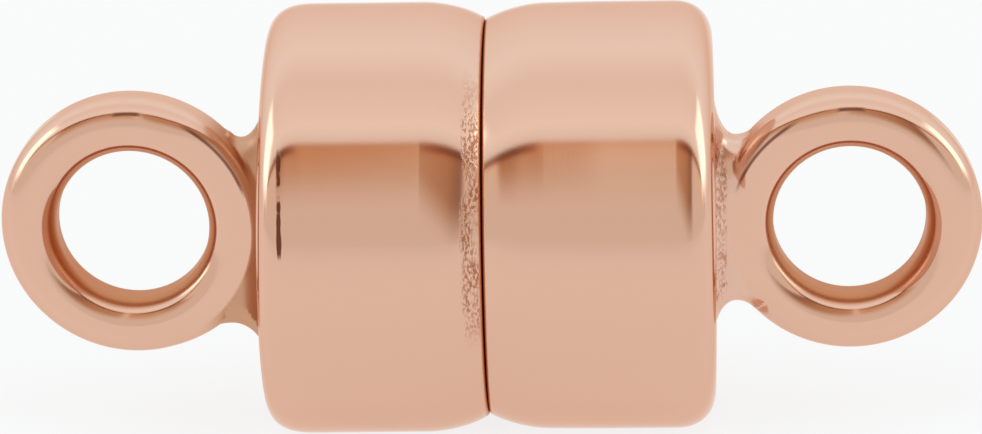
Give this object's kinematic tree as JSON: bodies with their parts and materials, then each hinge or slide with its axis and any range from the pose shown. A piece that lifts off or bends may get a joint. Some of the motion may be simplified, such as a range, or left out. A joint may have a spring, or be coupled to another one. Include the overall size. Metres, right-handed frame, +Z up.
{
  "type": "magnetic clasp",
  "caption": "Round barrel clasp with a ring on each outer end: a plug half with a raised magnet seats in a socket half, turns freely in it and pulls straight off.",
  "frame": {"origin": "on the clasp's axis, in the middle of its overall length", "axes": "+X along the clasp's axis from the socket half to the plug half, +Y along the rings' holes and away from the picture's camera, +Z up. At rest the clasp lies on the side of its barrel, with the rings upright."},
  "size_m": [0.0102, 0.0044, 0.0044],
  "materials": {
    "rose_gold": "polished",
    "nickel": "plated"
  },
  "bodies": {
    "socket_half": {"socket_case": "rose_gold", "socket_magnet": "nickel"},
    "plug_core": {"plug_magnet": "nickel"},
    "plug_half": {"plug_case": "rose_gold"}
  },
  "joints": [
    {"name": "pull_apart", "type": "slide", "parent": "socket_half", "child": "plug_core", "axis": [1, 0, 0], "range_m": [0, 0.005]},
    {"name": "swivel", "type": "hinge", "parent": "plug_core", "child": "plug_half", "pos_m": [0, 0, 0], "axis": [1, 0, 0], "continuous": true}
  ]
}
